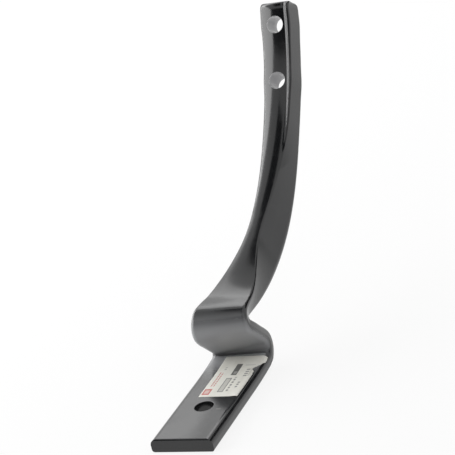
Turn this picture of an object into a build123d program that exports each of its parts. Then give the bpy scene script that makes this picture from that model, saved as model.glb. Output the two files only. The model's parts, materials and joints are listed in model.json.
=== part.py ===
from build123d import *
import math
import os

os.makedirs("parts", exist_ok=True)

# Millimetres. +X runs across the bar, +Y along the mounting plate towards the crank, +Z up.
# The origin is the centre of the plate's bolt hole, on the underside of the plate.

# Flat bar of the mounting plate and the crank
BAR_WIDTH = 60.0
BAR_THICKNESS = 12.5
UPPER_EDGE_RADIUS = 5.9
LOWER_EDGE_RADIUS = 2.6
PLATE_MARGIN = 57.0
PLATE_REACH = 50.0
PLATE_HOLE_DIAMETER = 18.0
CUT_EDGE_ROUNDING = 1.6

# Crank: the plate lifts a little, folds back over itself and then folds forwards again.
# Both folds are cones: the first is wider at the right edge, the second at the left edge.
LIFT_LENGTH = 42.0
LIFT_TURN = 5.0
FOLD_INNER_RADIUS = 0.5
FOLD_TAPER = 6.6
FIRST_FOLD_TURN = 132.8
RETURN_LENGTH = 34.0
SECOND_FOLD_TURN = 142.7

# Leg: a tighter curve at its foot, then one long sweep upwards to the tip
FOOT_RADIUS = 217.0
FOOT_TURN = 15.2
LEG_RADIUS = 302.0
LEG_TURN = 61.8

# The flat bar narrows through the second fold to a shoulder on the foot of the leg
NARROWING_LENGTH = 35.0
SHOULDER_DISTANCE = 16.5
SHOULDER_FRONT_WIDTH = 48.4
SHOULDER_BACK_WIDTH = 47.0
SHOULDER_DEPTH = 14.9
SHOULDER_FRONT_RADIUS = 2.6

# Pressed keystone section in the middle of the leg, narrow at the front and wide at the back
KEYSTONE_DISTANCE = 119.5
KEYSTONE_FRONT_WIDTH = 14.0
KEYSTONE_BACK_WIDTH = 47.2
KEYSTONE_DEPTH = 34.5
KEYSTONE_FRONT_RADIUS = 1.6
KEYSTONE_BACK_RADIUS = 5.5

# Upper leg, a rounded oblong that carries the share on two bolts
LEG_FRONT_WIDTH = 27.7
LEG_BACK_WIDTH = 34.5
LEG_DEPTH = 25.7
LEG_EDGE_RADIUS = 2.9
LEG_RUN_OUT = 117.0
TIP_FRONT_WIDTH = 30.9
TIP_DEPTH = 26.5
TIP_ROUNDING = 8.0
TIP_TILT = 6.0
SHARE_HOLE_DIAMETER = 17.4
SHARE_HOLE_MARGIN = 23.6
SHARE_HOLE_SPACING = 60.0
HOLE_SWELL = 1.3
HOLE_SWELL_REACH = 11.0

# Adhesive paper label on the plate
LABEL_START = 17.0
LABEL_LENGTH = 74.0
LABEL_MARGIN = 17.5
LABEL_THICKNESS = 0.2
LABEL_WRAP_ANGLE = 50.0

ACROSS = Vector(1, 0, 0)
PLATE, LIFT, FIRST_FOLD, RUN_BACK, SECOND_FOLD, FOOT, LEG = range(7)


def side_line(offset):
    """Middle of the bar's thickness at one distance from its centre plane, as pieces in the YZ plane."""
    middle = BAR_THICKNESS / 2
    radius = FOLD_INNER_RADIUS + middle + FOLD_TAPER / 2
    change = FOLD_TAPER * offset / BAR_WIDTH
    plate = Line((-PLATE_MARGIN, middle), (PLATE_REACH, middle))
    lift = JernArc(plate @ 1, plate % 1, LIFT_LENGTH / math.radians(LIFT_TURN), LIFT_TURN)
    first_fold = JernArc(lift @ 1, lift % 1, radius + change, FIRST_FOLD_TURN)
    run_back = Line(first_fold @ 1, first_fold @ 1 + (first_fold % 1) * RETURN_LENGTH)
    second_fold = JernArc(run_back @ 1, run_back % 1, radius - change, -SECOND_FOLD_TURN)
    foot = JernArc(second_fold @ 1, second_fold % 1, FOOT_RADIUS, FOOT_TURN)
    leg = JernArc(foot @ 1, foot % 1, LEG_RADIUS, LEG_TURN)
    pieces = [plate, lift, first_fold, run_back, second_fold, foot, leg]
    return [Plane.YZ * piece.edge() for piece in pieces]


MIDDLE_LINE = side_line(0)
LEFT_LINE = side_line(-BAR_WIDTH / 2)
RIGHT_LINE = side_line(BAR_WIDTH / 2)
SECOND_FOLD_LENGTH = MIDDLE_LINE[SECOND_FOLD].length
FOOT_LENGTH = MIDDLE_LINE[FOOT].length
LEG_LENGTH = FOOT_LENGTH + MIDDLE_LINE[LEG].length
LAST_HOLE_DISTANCE = LEG_LENGTH - SHARE_HOLE_MARGIN
SHARE_HOLE_DISTANCES = [LAST_HOLE_DISTANCE - SHARE_HOLE_SPACING, LAST_HOLE_DISTANCE]


def section_plane(piece, share):
    """Plane across the bar: local x runs to the right edge, local y out of the front face."""
    front = ACROSS.cross(MIDDLE_LINE[piece] % share)
    lean = (RIGHT_LINE[piece] @ share) - (LEFT_LINE[piece] @ share)
    kept = {FOOT: 1 - share, LEG: 0}.get(piece, 1)
    across = ACROSS * BAR_WIDTH + lean * kept
    return Plane(MIDDLE_LINE[piece] @ share, x_dir=across, z_dir=across.cross(front))


def leg_plane(distance):
    """Plane across the leg at a distance from the end of the second fold."""
    if distance <= FOOT_LENGTH:
        return section_plane(FOOT, distance / FOOT_LENGTH)
    return section_plane(LEG, (distance - FOOT_LENGTH) / (LEG_LENGTH - FOOT_LENGTH))


def bar_section(plane, front_width, back_width, depth, front_radius, back_radius):
    """Four-sided section with rounded corners, its front side at positive local y."""
    corners = [
        (front_width / 2, depth / 2),
        (-front_width / 2, depth / 2),
        (-back_width / 2, -depth / 2),
        (back_width / 2, -depth / 2),
    ]
    radii = [front_radius, front_radius, back_radius, back_radius]
    return plane * make_face(FilletPolyline(*corners, radius=radii, close=True).edges())


def smooth_value(distance, stops, values):
    """Monotone cubic through the values at the stops, level at both ends."""
    distance = min(max(distance, stops[0]), stops[-1])
    rises = [(values[i + 1] - values[i]) / (stops[i + 1] - stops[i]) for i in range(len(stops) - 1)]
    slopes = [0.0] + [2 * a * b / (a + b) if a * b > 0 else 0.0 for a, b in zip(rises, rises[1:])] + [0.0]
    i = max(k for k in range(len(stops) - 1) if distance >= stops[k])
    span = stops[i + 1] - stops[i]
    t = (distance - stops[i]) / span
    ends = values[i] * (1 + 2 * t) * (1 - t) ** 2 + values[i + 1] * t * t * (3 - 2 * t)
    return ends + span * t * (1 - t) * (slopes[i] * (1 - t) - slopes[i + 1] * t)


def leg_section(plane, distance):
    """Section at a distance from the end of the second fold, negative before that point."""
    stops = [-NARROWING_LENGTH, SHOULDER_DISTANCE, KEYSTONE_DISTANCE, LEG_LENGTH - LEG_RUN_OUT, LEG_LENGTH]
    front_widths = [BAR_WIDTH, SHOULDER_FRONT_WIDTH, KEYSTONE_FRONT_WIDTH, LEG_FRONT_WIDTH, TIP_FRONT_WIDTH]
    back_widths = [BAR_WIDTH, SHOULDER_BACK_WIDTH, KEYSTONE_BACK_WIDTH, LEG_BACK_WIDTH, LEG_BACK_WIDTH]
    depths = [BAR_THICKNESS, SHOULDER_DEPTH, KEYSTONE_DEPTH, LEG_DEPTH, TIP_DEPTH]
    front_radii = [UPPER_EDGE_RADIUS, SHOULDER_FRONT_RADIUS, KEYSTONE_FRONT_RADIUS]
    back_radii = [LOWER_EDGE_RADIUS, LOWER_EDGE_RADIUS, KEYSTONE_BACK_RADIUS]
    front_width = smooth_value(distance, stops, front_widths)
    back_width = smooth_value(distance, stops, back_widths)
    depth = smooth_value(distance, stops, depths)
    front_radius = smooth_value(distance, stops, front_radii + [LEG_EDGE_RADIUS, LEG_EDGE_RADIUS])
    back_radius = smooth_value(distance, stops, back_radii + [LEG_EDGE_RADIUS, LEG_EDGE_RADIUS])
    for hole_distance in SHARE_HOLE_DISTANCES:
        swell = HOLE_SWELL * math.exp(-(((distance - hole_distance) / HOLE_SWELL_REACH) ** 2))
        front_width += swell
        back_width += swell
    inside = max(TIP_ROUNDING - (LEG_LENGTH - distance), 0.0)
    cut = TIP_ROUNDING - math.sqrt(TIP_ROUNDING**2 - inside**2)
    plane = plane.move(Location(plane.y_dir * (cut / 2)))
    plane = plane.rotated((-TIP_TILT * inside / TIP_ROUNDING, 0, 0))
    return bar_section(plane, front_width, back_width - 2 * cut, depth - cut, front_radius, back_radius)


def plate_and_lift():
    """Mounting plate and its gentle lift, swept at full width, with the cut end's top edge rounded."""
    path = MIDDLE_LINE[PLATE] + MIDDLE_LINE[LIFT]
    start = section_plane(PLATE, 0)
    section = bar_section(
        start, BAR_WIDTH, BAR_WIDTH, BAR_THICKNESS, UPPER_EDGE_RADIUS, LOWER_EDGE_RADIUS
    )
    bar = sweep(section, path=path)
    corner = Pos(0, -PLATE_MARGIN, BAR_THICKNESS)
    square = Box(2 * BAR_WIDTH, 2 * CUT_EDGE_ROUNDING, 2 * CUT_EDGE_ROUNDING)
    rod = Pos(0, CUT_EDGE_ROUNDING, -CUT_EDGE_ROUNDING) * Rot(0, 90, 0)
    return bar - corner * (square - rod * Cylinder(CUT_EDGE_ROUNDING, 3 * BAR_WIDTH))


def crank_and_leg():
    """Folds, return run and leg, lofted through sections across the bar."""
    sections = []
    for step in range(8):
        plane = section_plane(FIRST_FOLD, step / 7)
        to_leg = SECOND_FOLD_LENGTH + RETURN_LENGTH + MIDDLE_LINE[FIRST_FOLD].length * (1 - step / 7)
        sections.append(leg_section(plane, -to_leg))
    for step in range(1, 4):
        to_leg = SECOND_FOLD_LENGTH + RETURN_LENGTH * (1 - step / 4)
        sections.append(leg_section(section_plane(RUN_BACK, step / 4), -to_leg))
    for step in range(8):
        to_leg = SECOND_FOLD_LENGTH * (1 - step / 7)
        sections.append(leg_section(section_plane(SECOND_FOLD, step / 7), -to_leg))
    swell_start = SHARE_HOLE_DISTANCES[0] - 2 * HOLE_SWELL_REACH
    swell_end = LEG_LENGTH - TIP_ROUNDING
    distances = [swell_start * step / 14 for step in range(1, 15)]
    distances += [swell_start + (swell_end - swell_start) * step / 16 for step in range(1, 17)]
    distances += [LEG_LENGTH - TIP_ROUNDING * (1 - math.sin(math.radians(18 * step))) for step in range(1, 5)]
    distances += [LEG_LENGTH]
    sections += [leg_section(leg_plane(distance), distance) for distance in distances]
    return loft(sections)


def through_hole(plane, diameter, depth):
    """Cylinder square to the front face, long enough to pass through the section."""
    return plane * Rot(90, 0, 0) * Cylinder(diameter / 2, 3 * depth)


def make_tine():
    """One bar from the cut end of the plate to the tip, with its three bolt holes."""
    tine = plate_and_lift() + crank_and_leg()
    tine -= Cylinder(PLATE_HOLE_DIAMETER / 2, 4 * BAR_THICKNESS)
    for distance in SHARE_HOLE_DISTANCES:
        tine -= through_hole(leg_plane(distance), SHARE_HOLE_DIAMETER, LEG_DEPTH)
    return tine


def make_label():
    """Thin sheet on the plate's upper face that laps over the rounded right edge."""
    corner = (BAR_WIDTH / 2 - UPPER_EDGE_RADIUS, BAR_THICKNESS / 2 - UPPER_EDGE_RADIUS)
    left = -BAR_WIDTH / 2 + LABEL_MARGIN
    top = BAR_THICKNESS / 2
    inner_arc = CenterArc(corner, UPPER_EDGE_RADIUS, 90 - LABEL_WRAP_ANGLE, LABEL_WRAP_ANGLE)
    outer_arc = CenterArc(
        corner, UPPER_EDGE_RADIUS + LABEL_THICKNESS, 90 - LABEL_WRAP_ANGLE, LABEL_WRAP_ANGLE
    )
    lower_line = Line(inner_arc @ 1, (left, top))
    left_line = Line((left, top), (left, top + LABEL_THICKNESS))
    upper_line = Line((left, top + LABEL_THICKNESS), outer_arc @ 1)
    end_line = Line(outer_arc @ 0, inner_arc @ 0)
    outline = [inner_arc, lower_line, left_line, upper_line, outer_arc, end_line]
    section = section_plane(PLATE, 0) * make_face([piece.edge() for piece in outline])
    strip = sweep(section, path=MIDDLE_LINE[PLATE] + MIDDLE_LINE[LIFT])
    window = Pos(0, LABEL_START + LABEL_LENGTH / 2, 0) * Box(4 * BAR_WIDTH, LABEL_LENGTH, 4 * BAR_WIDTH)
    return strip & window


tine = make_tine()
paper_label = make_label()
export_step(tine, "parts/tine.step")
export_step(paper_label, "parts/paper_label.step")

box = tine.bounding_box()
print("tine solids", len(tine.solids()), "valid", tine.is_valid, "volume", round(tine.volume))
print("tine size", box.size, "from", box.min, "to", box.max)
print("label solids", len(paper_label.solids()), "valid", paper_label.is_valid)
print("inner end of the plate's flat", PLATE_REACH, "tip at", MIDDLE_LINE[LEG] @ 1)
for distance in SHARE_HOLE_DISTANCES:
    plane = leg_plane(distance)
    print("share hole at", plane.origin, "front", plane.y_dir)
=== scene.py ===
# %% [markdown]
# A harrow tine is one forged bar of spring steel. A flat plate is bolted to the harrow's frame, two
# tight folds make an S-shaped crank, and a long curved leg carries the share on two bolts. Its whole
# skin is gloss black paint, so nearly everything the eye reads is a reflection of a soft studio. The
# solids already have their shape, so this lesson dresses them, adds the paper label and lights the
# scene.

import json
import math

import bpy
import numpy as np
from mathutils import Matrix, Vector


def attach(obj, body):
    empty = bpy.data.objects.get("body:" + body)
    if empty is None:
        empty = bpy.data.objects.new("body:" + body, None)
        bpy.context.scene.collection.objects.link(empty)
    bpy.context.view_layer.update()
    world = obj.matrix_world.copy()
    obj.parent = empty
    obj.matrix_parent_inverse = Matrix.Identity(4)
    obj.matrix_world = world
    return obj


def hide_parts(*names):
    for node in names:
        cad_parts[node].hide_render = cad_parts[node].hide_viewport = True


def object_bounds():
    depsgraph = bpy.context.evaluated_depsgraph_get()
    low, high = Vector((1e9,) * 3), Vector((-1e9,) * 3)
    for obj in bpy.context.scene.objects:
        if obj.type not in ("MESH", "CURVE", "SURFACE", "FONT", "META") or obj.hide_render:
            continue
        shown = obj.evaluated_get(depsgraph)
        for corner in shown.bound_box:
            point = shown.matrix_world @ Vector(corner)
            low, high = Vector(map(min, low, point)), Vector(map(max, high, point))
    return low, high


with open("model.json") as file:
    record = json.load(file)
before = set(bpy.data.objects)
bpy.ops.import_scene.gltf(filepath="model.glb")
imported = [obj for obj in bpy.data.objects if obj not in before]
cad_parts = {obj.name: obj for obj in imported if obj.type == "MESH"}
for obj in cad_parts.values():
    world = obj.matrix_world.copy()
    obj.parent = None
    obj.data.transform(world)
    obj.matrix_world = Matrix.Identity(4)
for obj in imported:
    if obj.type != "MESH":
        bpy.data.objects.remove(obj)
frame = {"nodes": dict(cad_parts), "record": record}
cad_box = [list(corner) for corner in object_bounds()]
tine = frame["nodes"]["tine"]
print("solids:", sorted(frame["nodes"]), "box:", cad_box)

# %% [markdown]
# Shader maths reads best as plain expressions. This small class wraps one socket, and each operator
# adds the Math node that it stands for. Soft steps and bells are the two shapes that every mask in
# this lesson is made of.


# %% Sockets that add up like numbers
class Wire:
    """One output socket of a material's node tree, with arithmetic."""

    def __init__(self, tree, socket):
        self.tree = tree
        self.socket = socket

    def math(self, operation, *others):
        """A Math node on this socket and the other values."""
        node = self.tree.nodes.new("ShaderNodeMath")
        node.operation = operation
        for place, value in zip(node.inputs, (self,) + others):
            put(self.tree, place, value)
        return Wire(self.tree, node.outputs[0])

    def __add__(self, other):
        return self.math("ADD", other)

    def __radd__(self, other):
        return self.math("ADD", other)

    def __sub__(self, other):
        return self.math("SUBTRACT", other)

    def __rsub__(self, other):
        return number(self.tree, other).math("SUBTRACT", self)

    def __mul__(self, other):
        return self.math("MULTIPLY", other)

    def __rmul__(self, other):
        return self.math("MULTIPLY", other)

    def __truediv__(self, other):
        return self.math("DIVIDE", other)

    def step_up(self, low, high):
        """0 below low, 1 above high, and a smooth rise between."""
        settings = {"interpolation_type": "SMOOTHSTEP", "clamp": True}
        inputs = {"Value": self, "From Min": low, "From Max": high}
        return add_node(self.tree, "ShaderNodeMapRange", settings, inputs)

    def step_down(self, low, high):
        """1 below low, 0 above high, and a smooth fall between."""
        return 1 - self.step_up(low, high)

    def bell(self, centre, width):
        """1 at the centre and 0 at width away from it on both sides."""
        return (self - centre).math("ABSOLUTE").step_down(0.0, width)


# %% [markdown]
# Every other node comes from one helper, which takes the node's type, its settings and its inputs. A
# Mix node keeps separate sockets for each kind of value under the same names, so those for colours
# are found by their place.

# %% Nodes, coordinates, materials and objects
MIX_FACTOR, MIX_FIRST, MIX_SECOND, MIX_RESULT = 0, 6, 7, 2


def put(tree, place, value):
    """Gives a node's input a number, a colour or a link."""
    if isinstance(value, Wire):
        tree.links.new(value.socket, place)
    else:
        place.default_value = value


def add_node(tree, kind, settings=None, inputs=None, output=0):
    """Any node by its type, with its settings first and then its inputs by name or place."""
    node = tree.nodes.new(kind)
    for name, value in (settings or {}).items():
        setattr(node, name, value)
    for key, value in (inputs or {}).items():
        put(tree, node.inputs[key], value)
    return Wire(tree, node.outputs[output])


def number(tree, value):
    """A plain number as a wire, for a sum that starts with one."""
    node = tree.nodes.new("ShaderNodeValue")
    node.outputs[0].default_value = value
    return Wire(tree, node.outputs[0])


def coordinates(tree, kind):
    """One vector of the Texture Coordinate node, such as Object, and its x, y and z as wires."""
    vector = add_node(tree, "ShaderNodeTexCoord", output=kind)
    node = tree.nodes.new("ShaderNodeSeparateXYZ")
    put(tree, node.inputs["Vector"], vector)
    return vector, [Wire(tree, socket) for socket in node.outputs]


def noise(tree, place, scale, detail=1.0, roughness=0.5):
    """Soft random values between about 0 and 1 at a scale in cells per metre."""
    inputs = {"Vector": place, "Scale": scale, "Detail": detail, "Roughness": roughness}
    return add_node(tree, "ShaderNodeTexNoise", inputs=inputs)


def blend_colours(tree, factor, first, second):
    """Mixes two colours by a factor."""
    inputs = {MIX_FACTOR: factor, MIX_FIRST: first, MIX_SECOND: second}
    return add_node(tree, "ShaderNodeMix", {"data_type": "RGBA"}, inputs, MIX_RESULT)


def new_material(name):
    """A new material; returns it, its node tree and its Principled shader."""
    material = bpy.data.materials.new(name)
    material.use_nodes = True
    tree = material.node_tree
    return material, tree, tree.nodes["Principled BSDF"]


def add_object(name, data):
    """A new object in the scene, at the origin."""
    thing = bpy.data.objects.new(name, data)
    bpy.context.scene.collection.objects.link(thing)
    return thing


# %% [markdown]
# The bar's sizes, in metres, place the patterns of the paint and carry the label. The plate is a flat
# bar with rounded edges that lifts on a gentle arc before the crank. The bores aren't measured again
# here, because the frame's record states the middle, the axis and the radius of each.

# %% Sizes of the bar and its holes
MILLIMETRE = 0.001
BAR_WIDTH = 0.060
BAR_THICKNESS = 0.0125
EDGE_RADIUS = 0.0059
PLATE_REACH = 0.050
LIFT_LENGTH = 0.042
LIFT_ANGLE = math.radians(5.0)
mounts = {mount["name"]: mount for mount in frame["record"]["mounts"]}
plate_hole_radius = mounts["plate_bolt_hole"]["dims"]["r_mm"] * MILLIMETRE
share_holes = [mounts[name] for name in ("upper_share_hole", "lower_share_hole")]
print("plate hole radius:", plate_hole_radius)
print("share holes at:", [hole["pos_m"] for hole in share_holes])

# %% [markdown]
# Forging leaves no face truly flat, and gloss shows it at once. The leg's front is slightly crowned,
# the die left a seam near its right edge, the plate's right half is a little dished, and the punch
# drew the skin in round the hole. The mesh stays as it is, and only the shading normal leans, by a
# sum on its X and Y. A lean that grows over the leg's width makes one soft upright band of light.

# %% Leans of the skin
# A pair is the start and end of a soft step, in metres along an axis or in parts of the unit normal.
FRONT_Y, FRONT_Z = -0.9, 0.45
FRONT_FACING = (0.1, 0.6)
TOP_FACING = (0.8, 0.98)
LEG_RISE = (0.066, 0.105)
LEG_HALF_WIDTH = 0.0150
CROWN_SHIFT = 0.0010
CROWN_LIMIT = 0.85
CROWN_LEAN = 0.62
SEAM_PLACE = 0.0126
SEAM_WIDTH = 0.0034
SEAM_RISE = (0.132, 0.136)
SEAM_LEAN = 1.25
PLATE_END = (PLATE_REACH, PLATE_REACH + 0.010)
ABOVE_PLATE = (BAR_THICKNESS + 0.0005, BAR_THICKNESS + 0.0015)
PLATE_DISH = 6.5
HOLE_RIM = 0.0011
HOLE_LEAN = 0.28
print("seam above z", SEAM_RISE[0], "dished plate up to y", PLATE_END[0])


def leg_lean(x, z, normal):
    """Lean in X of the leg's front: outwards over its width and inwards along the seam."""
    faces_front = (normal[2] * FRONT_Z + normal[1] * FRONT_Y).step_up(*FRONT_FACING)
    on_leg = z.step_up(*LEG_RISE)
    seam = x.bell(SEAM_PLACE, SEAM_WIDTH) * z.step_up(*SEAM_RISE) * SEAM_LEAN
    across = (x - CROWN_SHIFT) / LEG_HALF_WIDTH
    across = across.math("MINIMUM", CROWN_LIMIT).math("MAXIMUM", -CROWN_LIMIT)
    return (across * CROWN_LEAN - seam) * on_leg * faces_front


def leaned_normal(tree, x, y, z, normal):
    """The skin's own normal with the leans of the leg, of the dished plate and of the hole's rim."""
    radius = (x * x + y * y).math("SQRT")
    on_plate_top = normal[2].step_up(*TOP_FACING) * y.step_down(*PLATE_END) * z.step_down(*ABOVE_PLATE)
    dish = x.math("MAXIMUM", 0.0) * PLATE_DISH * on_plate_top
    rim = radius.bell(plate_hole_radius, HOLE_RIM) * on_plate_top
    pull = rim * HOLE_LEAN / radius.math("MAXIMUM", plate_hole_radius / 2)
    side = normal[0] + leg_lean(x, z, normal) - dish - x * pull
    parts = {"X": side, "Y": normal[1] - y * pull, "Z": normal[2]}
    leaned = add_node(tree, "ShaderNodeCombineXYZ", inputs=parts)
    return add_node(tree, "ShaderNodeVectorMath", {"operation": "NORMALIZE"}, {0: leaned})


# %% [markdown]
# Two places carry painted light in their colour. On the front of the crank and down in its fold, a
# paler grey is a painted sheen over what the gloss would show only as dark there, and the coat is
# rougher. On the walls of the share holes, a pale grey is a painted reflection of the white studio at
# a grazing angle. A material can't see a fold or a bore, but it can compare each point's place and
# normal with theirs, which gives a soft mask without painting anything by hand.

# %% Where the sheen and the reflection are painted
# Places of the painted sheen on the crank and in its fold.
CRANK_NEAR = (0.050, 0.056)
CRANK_FAR = (0.092, 0.112)
CRANK_LOW = (0.012, 0.022)
CRANK_HIGH = (0.052, 0.074)
CRANK_FACING = (0.0, 0.7)
FOLD_REACH = (0.050, 0.092)
FOLD_HEIGHT = (0.020, 0.030)
BORE_FADE = 0.0002
# The dull coat printed here is where the sheen is painted.
print("dull coat from y", CRANK_NEAR[0], "to", CRANK_FAR[1], "and up to z", CRANK_HIGH[1])


def painted_sheen_mask(y, z, normal):
    """Where the sheen is painted: 1 on the crank's front skin and down in its fold, 0 elsewhere, soft
    at the borders.
    """
    along = y.step_up(*CRANK_NEAR) * y.step_down(*CRANK_FAR)
    height = z.step_up(*CRANK_LOW) * z.step_down(*CRANK_HIGH)
    front = (normal[1] * -1).step_up(*CRANK_FACING)
    in_fold = normal[2].step_up(*TOP_FACING) * y.step_up(*FOLD_REACH) * z.step_down(*FOLD_HEIGHT)
    return (along * height * front).math("MAXIMUM", in_fold)


def bore_reflection_mask(tree, x, y, z):
    """Where the reflection is painted: 1 on the walls of the leg's two holes, found by their distance
    from each hole's axis.
    """
    found = number(tree, 0.0)
    for hole in share_holes:
        _, middle_y, middle_z = hole["pos_m"]
        _, axis_y, axis_z = hole["axis"]
        radius = hole["dims"]["r_mm"] * MILLIMETRE
        aside = (y - middle_y) * axis_z - (z - middle_z) * axis_y
        away = (x * x + aside * aside).math("SQRT")
        found = found.math("MAXIMUM", away.step_down(radius, radius + BORE_FADE))
    return found


# %% [markdown]
# The paint is a thick gloss black, and three things keep it from looking like glass: long soft waves
# from the forging, a fine orange peel from the spray gun, and thin dusty patches that are rougher and
# greyer. The waves and the peel are heights for a Bump node, which starts from the leaned normal. A
# short scratch beside the plate's hole shows bare metal and wanders with the waves.

# %% Gloss black paint
ENAMEL = (0.008, 0.0085, 0.0095, 1)
DUSTY = (0.024, 0.0255, 0.027, 1)
# Pale grey painted on the crank as a sheen, in place of light that its gloss would show.
PAINTED_SHEEN = (0.34, 0.345, 0.355, 1)
# Pale grey painted on the share holes' walls as their reflection of the white studio.
PAINTED_BORE_REFLECTION = (0.42, 0.42, 0.43, 1)
BARE = (0.30, 0.29, 0.27, 1)
WAVE_SCALE = 26.0
WAVE_HEIGHT = 0.00016
PEEL_SCALE = 900.0
PEEL_HEIGHT = 0.000003
DUST_SCALE = 60.0
DUST_DETAIL = 5.0
DUST_ROUGHNESS = 0.65
DUST_LEVELS = (0.5, 0.8)
DUST_TINT = 0.35
GLOSS = 0.16
DUST_DULLS = 0.08
PAINTED_SHEEN_DULLS = 0.30
PAINT_IOR = 1.55
NOISE_MIDDLE = 0.5
SCRATCH_PLACE = (0.0160, -0.0050)
SCRATCH_LENGTH = 0.0040
SCRATCH_WIDTH = 0.0006
SCRATCH_WANDER = 0.004
SCRATCH_STRENGTH = 0.7
BELOW_PLATE_TOP = (BAR_THICKNESS - 0.0025, BAR_THICKNESS - 0.0005)


def scratch_mask(x, y, z, waves):
    """A thin line across the plate's upper face that fades out at both ends."""
    wandered = y + (waves - NOISE_MIDDLE) * SCRATCH_WANDER
    line = x.bell(SCRATCH_PLACE[0], SCRATCH_LENGTH) * wandered.bell(SCRATCH_PLACE[1], SCRATCH_WIDTH)
    return line * z.step_up(*BELOW_PLATE_TOP) * z.step_down(*ABOVE_PLATE) * SCRATCH_STRENGTH


def black_paint():
    """Deep black enamel: forging waves and orange peel in the bump, dust in colour and roughness, and
    painted sheen and reflection.
    """
    material, tree, shader = new_material("gloss_black_paint")
    place, (x, y, z) = coordinates(tree, "Object")
    _, normal = coordinates(tree, "Normal")
    waves = noise(tree, place, WAVE_SCALE)
    peel = noise(tree, place, PEEL_SCALE)
    dust = noise(tree, place, DUST_SCALE, DUST_DETAIL, DUST_ROUGHNESS).step_up(*DUST_LEVELS)
    height = waves * WAVE_HEIGHT + peel * PEEL_HEIGHT
    leaned = leaned_normal(tree, x, y, z, normal)
    inputs = {"Strength": 1.0, "Distance": 1.0, "Height": height, "Normal": leaned}
    put(tree, shader.inputs["Normal"], add_node(tree, "ShaderNodeBump", inputs=inputs))
    # Painted sheen: a paler grey and a rougher coat on the crank and in its fold.
    painted_sheen = painted_sheen_mask(y, z, normal)
    colour = blend_colours(tree, dust * DUST_TINT, ENAMEL, DUSTY)
    colour = blend_colours(tree, painted_sheen, colour, PAINTED_SHEEN)
    # Painted reflection: the walls of the share holes turn pale grey.
    colour = blend_colours(tree, bore_reflection_mask(tree, x, y, z), colour, PAINTED_BORE_REFLECTION)
    colour = blend_colours(tree, scratch_mask(x, y, z, waves), colour, BARE)
    put(tree, shader.inputs["Base Color"], colour)
    put(tree, shader.inputs["Roughness"], GLOSS + dust * DUST_DULLS + painted_sheen * PAINTED_SHEEN_DULLS)
    shader.inputs["IOR"].default_value = PAINT_IOR
    return material


tine.material_slots[0].material = black_paint()
print("paint on", tine.name, len(tine.data.polygons), "triangles")

# %% [markdown]
# The label is a sheet of paper stuck on the plate, with its right side lapped over the plate's
# rounded edge and partly torn away there. A plane could be wrapped by a modifier, but the skin under
# it is simple enough to write as one function of two distances: along the plate, and across it and
# round the edge. Any pair of distances then gives a point that truly lies on the plate.


# %% The skin under the label
def on_plate(across, along, above):
    """Points on the bar's upper skin, at a distance above it.

    Across is measured from the bar's middle. Past the flat's end, the rest over the edge's radius is
    the angle round the edge. Along is measured from the bolt hole. Past the plate's end, the rest
    over the lift's radius is the angle by which the section turns about the lift's axis.
    """
    flat_end = BAR_WIDTH / 2 - EDGE_RADIUS
    angle = np.clip(across - flat_end, 0, None) / EDGE_RADIUS
    reach = np.minimum(across, flat_end) + (EDGE_RADIUS + above) * np.sin(angle)
    top = BAR_THICKNESS - EDGE_RADIUS + (EDGE_RADIUS + above) * np.cos(angle)
    lift_radius = LIFT_LENGTH / LIFT_ANGLE
    turn = np.clip(along - PLATE_REACH, 0, None) / lift_radius
    arm = lift_radius + BAR_THICKNESS / 2 - top
    forward = np.minimum(along, PLATE_REACH) + arm * np.sin(turn)
    height = top + arm * (1 - np.cos(turn))
    return np.stack([reach, forward, height], -1)


print("skin over the plate's middle:", on_plate(0.0, 0.0, 0.0))

# %% [markdown]
# The label is cut straight for its first half. Past that, the right side is a tear: fine waves make
# it ragged, a bite is missing, and near the far end a flap of paper still reaches round the edge.
# The waves come from sines with fixed random phases, so the tear is the same on each run.

# %% The torn side
# Places and lengths in t, which runs from 0 to 1 along the label; depths and heights in metres.
CUT_SIDE = 0.0257
TEAR_START, TEAR_FADE = 0.50, 0.08
BITE_DEPTH, BITE_PLACE, BITE_WIDTH = 0.0034, 0.68, 0.045
FLAP_WIDTH, FLAP_START, FLAP_FADE = 0.0046, 0.76, 0.16
COARSE_TEAR, COARSE_SEED, COARSE_WAVES = 0.0005, 4, 9
FINE_TEAR, FINE_SEED, FINE_WAVES = 0.0004, 9, 40
WANDER_TURNS = 1.7
WANDER_FALL = 0.8


def wander(t, seed, steps):
    """A smooth random line: sine waves of rising number, each lower than the last, all added up."""
    rng = np.random.default_rng(seed)
    total = np.zeros_like(t)
    for k in range(1, steps + 1):
        total += np.sin(2 * np.pi * k * WANDER_TURNS * t + rng.uniform(0, 2 * np.pi)) / k**WANDER_FALL
    return total / 2


def ramp(t, start, length):
    """0 up to the start, then a straight rise to 1 over the length."""
    return np.clip((t - start) / length, 0, 1)


def hump(t, place, width):
    """A soft hump of height 1: e to minus the square of the distance over the width."""
    return np.exp(-(((t - place) / width) ** 2))


def torn_side(t):
    """How far across the paper reaches: the cut side, plus ragged waves and the flap, less the bite."""
    ragged = COARSE_TEAR * wander(t, COARSE_SEED, COARSE_WAVES)
    ragged = ragged + FINE_TEAR * wander(t, FINE_SEED, FINE_WAVES)
    torn = CUT_SIDE + ramp(t, TEAR_START, TEAR_FADE) * ragged
    torn += FLAP_WIDTH * ramp(t, FLAP_START, FLAP_FADE)
    torn -= BITE_DEPTH * hump(t, BITE_PLACE, BITE_WIDTH)
    return torn


sample = torn_side(np.linspace(0, 1, 5))
print("the paper reaches across:", np.round(sample, 4))

# %% [markdown]
# The sheet is a grid whose rows run along the plate and whose columns go from the left side to the
# torn side, so the grid simply ends at the tear and no stray faces are left. Close to the tear the
# paper lifts in small wrinkles. A Solidify modifier gives it its thickness.

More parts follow.
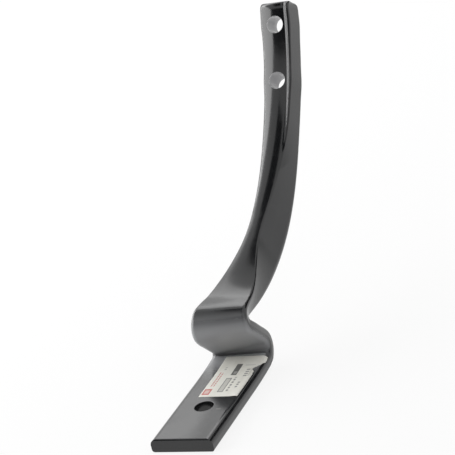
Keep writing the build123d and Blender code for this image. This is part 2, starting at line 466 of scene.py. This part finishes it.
# %% The label's sheet
LABEL_LEFT = -0.0125
LABEL_START = 0.017
LABEL_END = 0.0909
LABEL_ROWS, LABEL_COLUMNS = 220, 120
PAPER_LIFT = 0.00008
PAPER_THICKNESS = 0.00012
WRINKLE_HEIGHT, WRINKLE_PLACE, WRINKLE_WIDTH = 0.00025, 0.93, 0.09
WRINKLE_SEED, WRINKLE_WAVES = 2, 14


def grid_mesh(name, points, uv):
    """A smooth mesh of quads through a grid of points, with the grid's own UV map."""
    rows, columns = points.shape[:2]
    index = np.arange(rows * columns).reshape(rows, columns)
    quads = np.stack([index[:-1, :-1], index[:-1, 1:], index[1:, 1:], index[1:, :-1]], -1)
    mesh = bpy.data.meshes.new(name)
    mesh.from_pydata(points.reshape(-1, 3).tolist(), [], quads.reshape(-1, 4).tolist())
    corners = np.zeros(len(mesh.loops), int)
    mesh.loops.foreach_get("vertex_index", corners)
    mesh.uv_layers.new(name="UVMap").data.foreach_set("uv", uv.reshape(-1, 2)[corners].ravel())
    mesh.polygons.foreach_set("use_smooth", np.ones(len(mesh.polygons), bool))
    return mesh


def paper_label():
    """The skin's points at t along the label and u of the way from its left side to the torn side.

    A hump in u times a random line in t raises the points into wrinkles, and never below the skin.
    """
    t, u = np.meshgrid(np.linspace(0, 1, LABEL_ROWS), np.linspace(0, 1, LABEL_COLUMNS), indexing="ij")
    along = LABEL_START + (LABEL_END - LABEL_START) * t
    across = LABEL_LEFT + (torn_side(t) - LABEL_LEFT) * u
    wrinkle = WRINKLE_HEIGHT * hump(u, WRINKLE_PLACE, WRINKLE_WIDTH)
    wrinkle = wrinkle * (1 + wander(t, WRINKLE_SEED, WRINKLE_WAVES))
    points = on_plate(across, along, PAPER_LIFT + np.clip(wrinkle, 0, None))
    width = (across - LABEL_LEFT) / (BAR_WIDTH / 2 - LABEL_LEFT)
    sheet = add_object("label_sheet", grid_mesh("label_sheet", points, np.stack([width, t], -1)))
    thickness = sheet.modifiers.new("paper", "SOLIDIFY")
    thickness.thickness = PAPER_THICKNESS
    thickness.offset = 1.0
    return sheet


label = paper_label()
print("label:", len(label.data.polygons), "faces")

# %% [markdown]
# The print is made of plain fields: small red dashes and a red frame, a dark block, an outlined grey
# block, and rows of short grey dashes and thin bars. They are drawn in the label's own UV map, where
# U runs across the plate and V along it, so they bend with the paper. A box in the print is a product
# of soft steps, and dashes cut a box with a repeating beat along V.

# %% Fields of the print
# Boxes are U from, U to, V from, V to. Rows of dashes add their number along V and the inked share.
PRINT_SOFT = 0.004
DASH_SOFT = 0.08
RED_FRAME, RED_FRAME_INSIDE = (0.03, 0.20, 0.05, 0.19), (0.065, 0.165, 0.08, 0.16)
RED_DASHES = [((0.105, 0.13, 0.25, 0.62), 26, 0.7), ((0.165, 0.19, 0.25, 0.60), 22, 0.7)]
DARK_BLOCK, DARK_BLOCK_WINDOW = (0.39, 0.52, 0.54, 0.81), (0.43, 0.50, 0.57, 0.63)
GREY_BLOCK, GREY_BLOCK_INSIDE = (0.35, 0.48, 0.115, 0.46), (0.368, 0.462, 0.130, 0.445)
GREY_DASHES = [
    ((0.54, 0.585, 0.13, 0.48), 15, 0.6),
    ((0.69, 0.74, 0.20, 0.36), 18, 0.6),
    ((0.70, 0.785, 0.48, 0.70), 20, 0.55),
]
PALE_DASHES = ((0.15, 0.20, 0.66, 0.74), 22, 0.5)
GREY_BARS = [(0.80, 0.84, 0.50, 0.68), (0.60, 0.84, 0.77, 0.79)]
print("rows of dashes:", len(RED_DASHES) + len(GREY_DASHES) + 1, "thin bars:", len(GREY_BARS))


def field(u, v, box):
    """1 inside a box of the print and 0 outside, with soft sides."""
    u_low, u_high, v_low, v_high = box
    sides = u.step_up(u_low - PRINT_SOFT, u_low) * u.step_down(u_high, u_high + PRINT_SOFT)
    ends = v.step_up(v_low - PRINT_SOFT, v_low) * v.step_down(v_high, v_high + PRINT_SOFT)
    return sides * ends


def dashes(u, v, box, count, share):
    """A box cut into dashes by a beat that repeats along V."""
    beat = (v * count).math("FRACT")
    return field(u, v, box) * beat.step_down(share - DASH_SOFT, share + DASH_SOFT)


def all_dashes(u, v, rows):
    """Several rows of dashes, added up."""
    total = dashes(u, v, *rows[0])
    for row in rows[1:]:
        total = total + dashes(u, v, *row)
    return total


# %% [markdown]
# Three inks lie on the paper, one after the other: grey, nearly black and red. Each is a sum of its
# fields, kept below 1, that mixes the ink into the colour so far. The paper itself is slightly yellow
# with soft stains, and a faint crumple in the bump keeps it from looking like plastic.

# %% Label paper and its inks
PAPER = (0.78, 0.77, 0.71, 1)
STAINED = (0.66, 0.64, 0.57, 1)
GREY_INK = (0.12, 0.12, 0.12, 1)
BLACK_INK = (0.05, 0.05, 0.05, 1)
RED_INK = (0.50, 0.06, 0.05, 1)
STAIN_SCALE, STAIN_DETAIL, STAIN_LEVELS, STAIN_TINT = 120.0, 4.0, (0.45, 0.75), 0.5
OUTLINE_COVER, OUTLINE_CLEARS = 0.9, 0.62
DASH_COVER, BAR_STRENGTH, PALE_STRENGTH = 0.75, 0.35, 0.7
BLACK_COVER, BLACK_CLEARS = 0.88, 0.3
RED_DASH_COVER, RED_FRAME_COVER, RED_FRAME_CLEARS = 0.8, 0.85, 0.55
CRUMPLE_SCALE, CRUMPLE_DETAIL, CRUMPLE_HEIGHT, CRUMPLE_STRENGTH = 260.0, 3.0, 0.00012, 0.6
PAPER_ROUGHNESS = 0.55


def grey_ink(u, v):
    """The outlined block, the rows of dashes and the thin bars."""
    outline = field(u, v, GREY_BLOCK) * (1 - field(u, v, GREY_BLOCK_INSIDE) * OUTLINE_CLEARS)
    rows = all_dashes(u, v, GREY_DASHES) + dashes(u, v, *PALE_DASHES) * PALE_STRENGTH
    for bar in GREY_BARS:
        rows = rows + field(u, v, bar) * BAR_STRENGTH
    return (outline * OUTLINE_COVER + rows * DASH_COVER).math("MINIMUM", 1.0)


def black_ink(u, v):
    """One dark block with a slightly paler window."""
    return field(u, v, DARK_BLOCK) * (1 - field(u, v, DARK_BLOCK_WINDOW) * BLACK_CLEARS) * BLACK_COVER


def red_ink(u, v):
    """A frame and two rows of small dashes."""
    border = field(u, v, RED_FRAME) * (1 - field(u, v, RED_FRAME_INSIDE) * RED_FRAME_CLEARS)
    rows = all_dashes(u, v, RED_DASHES)
    return (rows * RED_DASH_COVER + border * RED_FRAME_COVER).math("MINIMUM", 1.0)


def label_paper():
    """Matt, slightly yellow paper with three inks and a faint crumple."""
    material, tree, shader = new_material("label_paper_print")
    place, _ = coordinates(tree, "Object")
    _, (u, v, _) = coordinates(tree, "UV")
    stain = noise(tree, place, STAIN_SCALE, STAIN_DETAIL).step_up(*STAIN_LEVELS)
    colour = blend_colours(tree, stain * STAIN_TINT, PAPER, STAINED)
    colour = blend_colours(tree, grey_ink(u, v), colour, GREY_INK)
    colour = blend_colours(tree, black_ink(u, v), colour, BLACK_INK)
    colour = blend_colours(tree, red_ink(u, v), colour, RED_INK)
    put(tree, shader.inputs["Base Color"], colour)
    crumple = noise(tree, place, CRUMPLE_SCALE, CRUMPLE_DETAIL) * CRUMPLE_HEIGHT
    inputs = {"Strength": CRUMPLE_STRENGTH, "Distance": 1.0, "Height": crumple}
    put(tree, shader.inputs["Normal"], add_node(tree, "ShaderNodeBump", inputs=inputs))
    shader.inputs["Roughness"].default_value = PAPER_ROUGHNESS
    return material


label.data.materials.append(label_paper())
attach(label, "root")
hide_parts("paper_label")
print("label rides on root and stands for paper_label")

# %% [markdown]
# The camera stands where the photographer stood: to the right of the plate's cut end, a little above
# it, and rolled, because the tine leans in the picture. The camera's turn, its rise and its roll give
# its three axes, and one known point, the top of the bolt hole, fixes its place.

# %% The photographer's camera
FRAME_PIXELS = 455.0
AZIMUTH = math.radians(26.17)
ELEVATION = math.radians(20.58)
ROLL = math.radians(-13.91)
FOCAL_PIXELS = 1691.98
HOLE_PIXEL = (204.07, 406.26)
HOLE_DEPTH = 1.50817
HOLE_POINT = Vector((0, 0, 0.01262))
SENSOR_WIDTH = 36.0
CLIP_END = 50.0


def photo_camera():
    """Camera whose axes come from the three angles and whose place puts the hole at its pixel."""
    level = Vector((math.cos(AZIMUTH), math.sin(AZIMUTH), 0))
    away = Vector((math.sin(AZIMUTH), -math.cos(AZIMUTH), 0))
    back = away * math.cos(ELEVATION) + Vector((0, 0, math.sin(ELEVATION)))
    upright = back.cross(level)
    right = level * math.cos(ROLL) + upright * math.sin(ROLL)
    up = upright * math.cos(ROLL) - level * math.sin(ROLL)
    middle = FRAME_PIXELS / 2
    aside = (HOLE_PIXEL[0] - middle) / FOCAL_PIXELS * HOLE_DEPTH
    below = (HOLE_PIXEL[1] - middle) / FOCAL_PIXELS * HOLE_DEPTH
    place = HOLE_POINT - right * aside + up * below + back * HOLE_DEPTH
    data = bpy.data.cameras.new("photo_camera")
    data.sensor_width = SENSOR_WIDTH
    data.lens = SENSOR_WIDTH * FOCAL_PIXELS / FRAME_PIXELS
    data.clip_end = CLIP_END
    camera = add_object("photo_camera", data)
    camera.matrix_world = Matrix.Translation(place) @ Matrix((right, up, back)).transposed().to_4x4()
    bpy.context.scene.camera = camera
    return camera


camera = photo_camera()
print("camera at", [round(value, 3) for value in camera.location])

# %% [markdown]
# The photograph was cut out on white. A floor lit like any other surface would look grey, so it glows
# by itself where the camera or the gloss sees it, and only a seventh of it is real white paint, which
# is enough to catch the tine's soft shadow. The world is white to the camera and a shade darker as a
# light.

# %% Floor and world
FLOOR_WIDTH = 8.0
FLOOR_GAP = 0.0003
FLOOR_WHITE = (0.86, 0.86, 0.86, 1)
FLOOR_ROUGHNESS = 0.9
FLOOR_GLOW = 0.86
WORLD_LIGHT = 0.95
WHITE = (1, 1, 1, 1)


def flat_mesh(name, width, height, turn, place):
    """One rectangle: its corners round the origin, turned and then moved to the place."""
    sides = [(-1, -1), (1, -1), (1, 1), (-1, 1)]
    corners = [turn @ Vector((x * width / 2, y * height / 2, 0)) + Vector(place) for x, y in sides]
    mesh = bpy.data.meshes.new(name)
    mesh.from_pydata([tuple(corner) for corner in corners], [], [(0, 1, 2, 3)])
    return mesh


def pale_floor():
    """Wide square under the plate, white to the camera and in gloss, that keeps the object's shadow."""
    place = (0, 0, cad_box[0][2] - FLOOR_GAP)
    mesh = flat_mesh("floor", FLOOR_WIDTH, FLOOR_WIDTH, Matrix.Identity(3), place)
    floor = add_object("floor", mesh)
    material, tree, shader = new_material("floor_white")
    shader.inputs["Base Color"].default_value = FLOOR_WHITE
    shader.inputs["Roughness"].default_value = FLOOR_ROUGHNESS
    glow = add_node(tree, "ShaderNodeEmission", inputs={"Color": WHITE, "Strength": 1.0})
    path = tree.nodes.new("ShaderNodeLightPath")
    seen = Wire(tree, path.outputs["Is Camera Ray"])
    mirrored = Wire(tree, path.outputs["Is Glossy Ray"])
    factor = (seen * FLOOR_GLOW).math("MAXIMUM", mirrored)
    painted = Wire(tree, shader.outputs["BSDF"])
    mix = add_node(tree, "ShaderNodeMixShader", inputs={0: factor, 1: painted, 2: glow})
    put(tree, tree.nodes["Material Output"].inputs["Surface"], mix)
    mesh.materials.append(material)
    return floor


def studio_world():
    """White to the camera and through anything clear, and a shade darker as a light."""
    world = bpy.data.worlds.new("studio")
    bpy.context.scene.world = world
    world.use_nodes = True
    tree = world.node_tree
    tree.nodes.clear()
    path = tree.nodes.new("ShaderNodeLightPath")
    camera_ray = Wire(tree, path.outputs["Is Camera Ray"])
    through_ray = Wire(tree, path.outputs["Is Transmission Ray"])
    seen = camera_ray.math("MAXIMUM", through_ray)
    strength = seen * (1 - WORLD_LIGHT) + WORLD_LIGHT
    background = add_node(tree, "ShaderNodeBackground", inputs={"Color": WHITE, "Strength": strength})
    output = tree.nodes.new("ShaderNodeOutputWorld")
    put(tree, output.inputs["Surface"], background)
    return world


floor = pale_floor()
world = studio_world()
print("floor at", cad_box[0][2] - FLOOR_GAP, "in world", world.name)

# %% [markdown]
# Black gloss paint shows only what surrounds it, so it is lit by shapes and not by brightness. Large
# soft lamps behind and to the left give the pale bands, and black cards, which the camera doesn't
# see, give the dark ones. All of them face the middle of the tine.

# %% Soft lamps and dark cards
# A lamp has its place, width, height and power in watts; a card has its place, width and height.
TARGET = Vector((0.0, 0.17, 0.13))
SOFT_LAMPS = {
    "back_box": ((-0.80, 1.20, 0.95), 1.4, 0.50, 3.2),
    "back_wall": ((-0.70, 1.60, 0.55), 1.8, 0.55, 0.6),
    "left_wall": ((-1.85, 0.12, 0.68), 2.8, 1.5, 45.0),
}
DARK_CARDS = {
    "camera_side": ((-0.05, -1.75, 0.80), 3.9, 1.9),
    "right_side": ((1.75, -0.10, 0.45), 1.3, 0.8),
    "back_right": ((0.75, 1.85, 0.75), 1.2, 1.0),
    "overhead": ((-0.30, 0.10, 1.95), 1.6, 0.9),
}
CARD_BLACK = (0.01, 0.01, 0.01, 1)
CARD_ROUGHNESS = 1.0


def facing_target(place):
    """The turn that points an object's own -Z from a place to the middle of the tine."""
    return (Vector(place) - TARGET).to_track_quat("Z", "Y")


def soft_lamp(name, place, width, height, power):
    """Rectangular lamp at a place, turned to the middle of the tine."""
    data = bpy.data.lights.new(name, "AREA")
    data.shape = "RECTANGLE"
    data.size = width
    data.size_y = height
    data.energy = power
    lamp = add_object(name, data)
    lamp.location = place
    lamp.rotation_euler = facing_target(place).to_euler()
    return lamp


def dark_card(name, place, width, height):
    """Black card that faces the tine and shows in its gloss as a dark band."""
    mesh = flat_mesh(name, width, height, facing_target(place).to_matrix(), place)
    card = add_object(name, mesh)
    card.visible_camera = False
    material, _, shader = new_material(name + "_black")
    shader.inputs["Base Color"].default_value = CARD_BLACK
    shader.inputs["Roughness"].default_value = CARD_ROUGHNESS
    mesh.materials.append(material)
    return card


lamps = [soft_lamp(name, *values) for name, values in SOFT_LAMPS.items()]
cards = [dark_card(name, *values) for name, values in DARK_CARDS.items()]
print("lamps:", len(lamps), "dark cards:", len(cards))

# %% [markdown]
# The Standard view shows plain white as white, as in a cut-out photograph.

# %% Plain colour handling
bpy.context.scene.view_settings.view_transform = "Standard"
